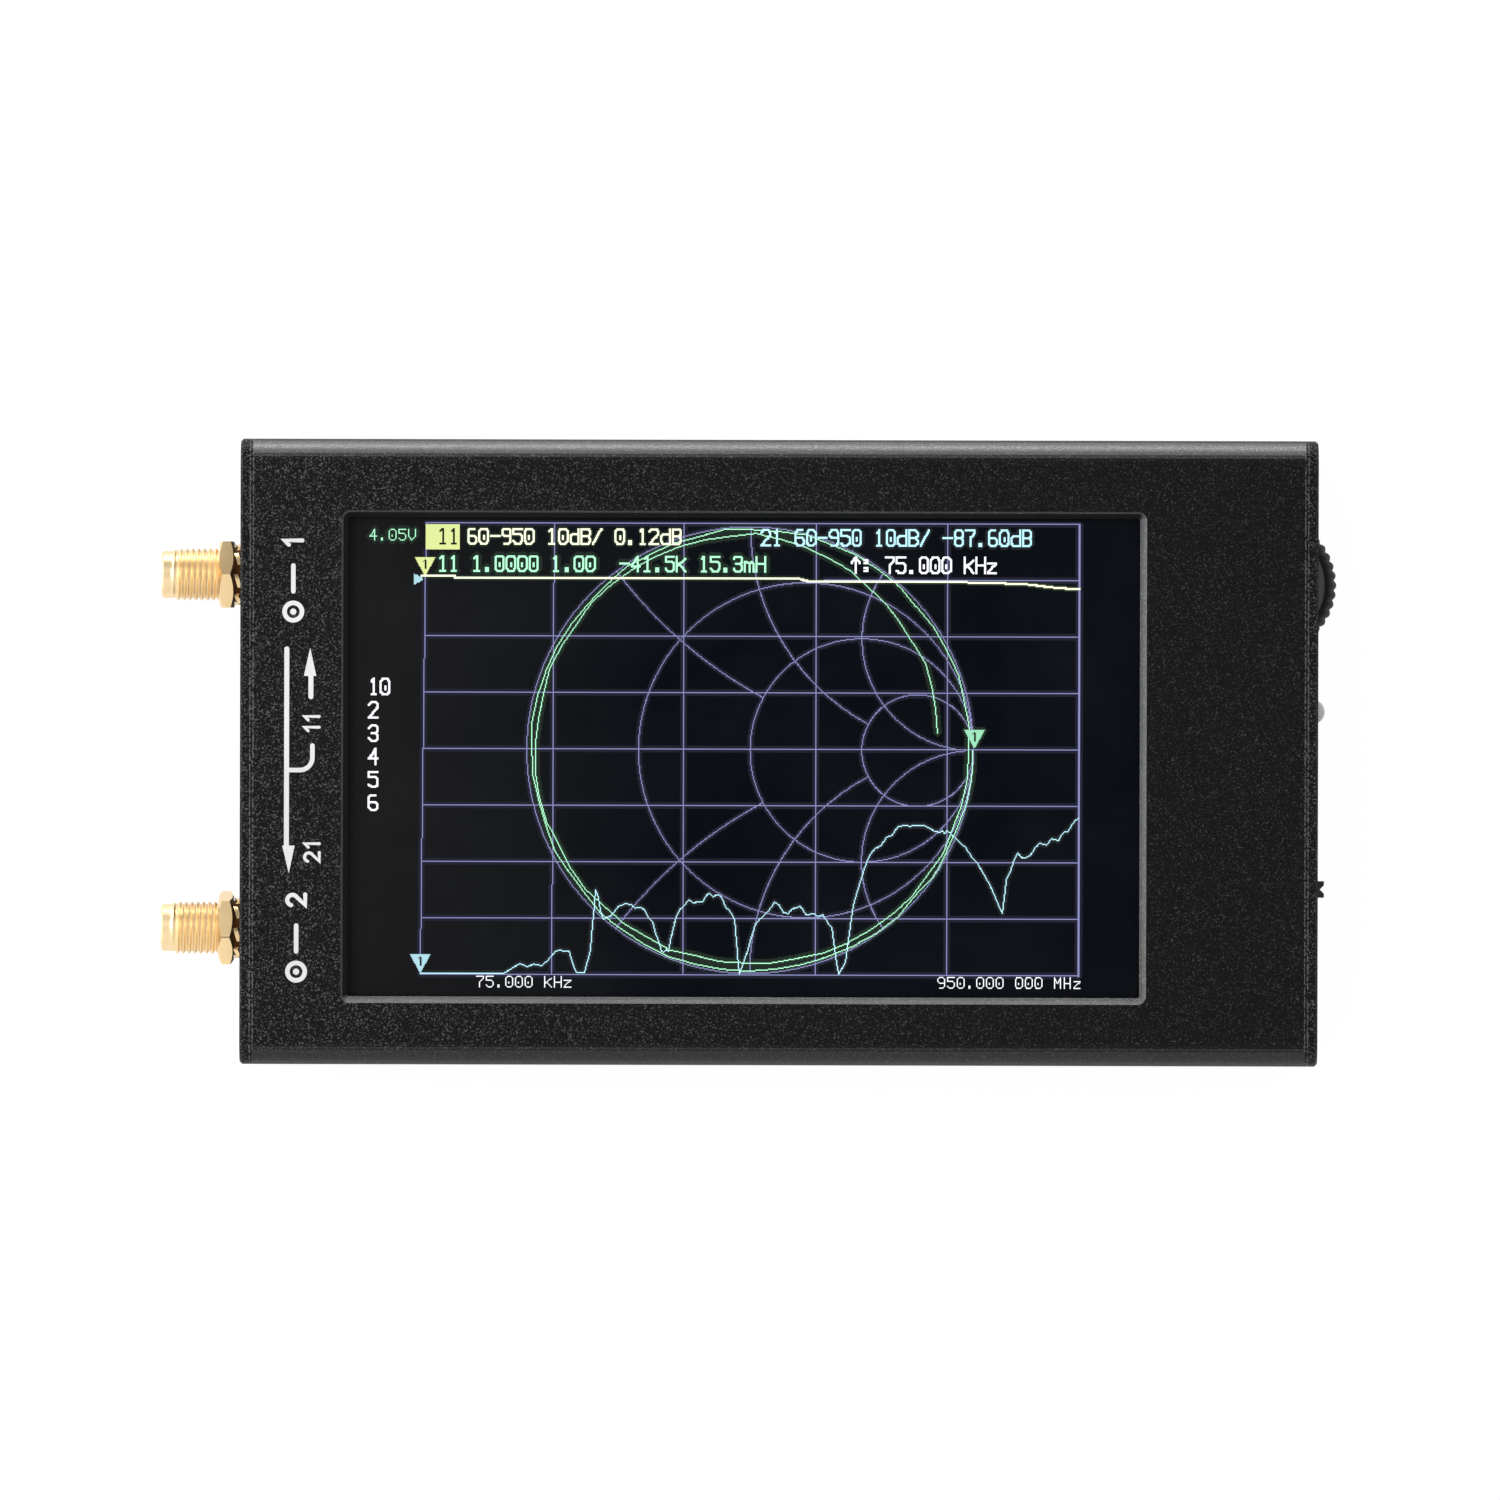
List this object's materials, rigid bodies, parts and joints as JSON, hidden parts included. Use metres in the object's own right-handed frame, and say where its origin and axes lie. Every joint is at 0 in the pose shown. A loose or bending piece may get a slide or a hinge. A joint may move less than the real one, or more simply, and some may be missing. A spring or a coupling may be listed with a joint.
{
  "type": "antenna analyzer",
  "caption": "Handheld antenna analyzer: black metal case with colour display, gold threaded radio jacks on one end, thumbwheel, light, charging socket and slide switch on the other.",
  "frame": {"origin": "centre of the housing's back face, which the analyzer lies on", "axes": "+Z out of the display, +X along the case from the radio jacks to the thumbwheel, +Y across it towards the thumbwheel's side"},
  "size_m": [0.1422, 0.0754, 0.022],
  "materials": {
    "shell_coat": "matte",
    "plate_coat": "matte",
    "screw_black": "satin",
    "foam": "matte",
    "cover_glass": "gloss",
    "tin_sheet": "satin",
    "panel_glass": "gloss",
    "light_guide": "satin",
    "flat_cable": "satin",
    "white_plastic": "matte",
    "board": "satin",
    "chip": "matte",
    "tin_can": "satin",
    "gold": "satin",
    "ptfe": "satin",
    "black_plastic": "matte",
    "wheel_plastic": "gloss",
    "led_lens": "gloss",
    "foil_pouch": "satin",
    "lead_cover": "satin"
  },
  "bodies": {
    "case": {"back_shell": "shell_coat", "battery_cell": "foil_pouch", "battery_leads": "lead_cover", "battery_pad": "foam", "battery_plug": "white_plastic", "battery_socket": "white_plastic", "control_plate": "plate_coat", "control_plate_screws": "screw_black", "crystal": "tin_can", "display_connector": "white_plastic", "display_gasket": "foam", "display_glass": "cover_glass", "display_ribbon": "flat_cable", "front_shell": "shell_coat", "jog_base": "black_plastic", "jog_switch": "black_plastic", "lcd_frame": "tin_sheet", "lcd_panel": "panel_glass", "led_leads": "tin_can", "light_guide": "light_guide", "main_board": "board", "port_1_contact": "gold", "port_1_insulator": "ptfe", "port_1_jack": "gold", "port_1_nut": "gold", "port_1_washer": "gold", "port_2_contact": "gold", "port_2_insulator": "ptfe", "port_2_jack": "gold", "port_2_nut": "gold", "port_2_washer": "gold", "port_plate": "plate_coat", "port_plate_screws": "screw_black", "processor": "chip", "shield_cans": "tin_sheet", "status_led": "led_lens", "switch_body": "tin_can", "usb_shell": "tin_can", "usb_tongue": "black_plastic"},
    "jog_carrier": {"jog_carrier": "black_plastic", "jog_clip": "tin_can", "jog_spring": "tin_can"},
    "jog_wheel": {"jog_wheel": "wheel_plastic"},
    "power_switch": {"switch_knob": "black_plastic"}
  },
  "joints": [
    {"name": "jog_press", "type": "slide", "parent": "case", "child": "jog_carrier", "axis": [-1, 0, 0], "range_m": [0, 0.0005], "stiffness_N_per_m": 1500, "springref_m": -0.0008},
    {"name": "jog_turn", "type": "hinge", "parent": "jog_carrier", "child": "jog_wheel", "pos_m": [0.0589, 0.0204, 0.0137], "axis": [0, 0, 1], "range_deg": [-12, 12], "stiffness_Nm_per_rad": 0.02},
    {"name": "power_slide", "type": "slide", "parent": "case", "child": "power_switch", "axis": [0, -1, 0], "range_m": [0, 0.002]}
  ]
}
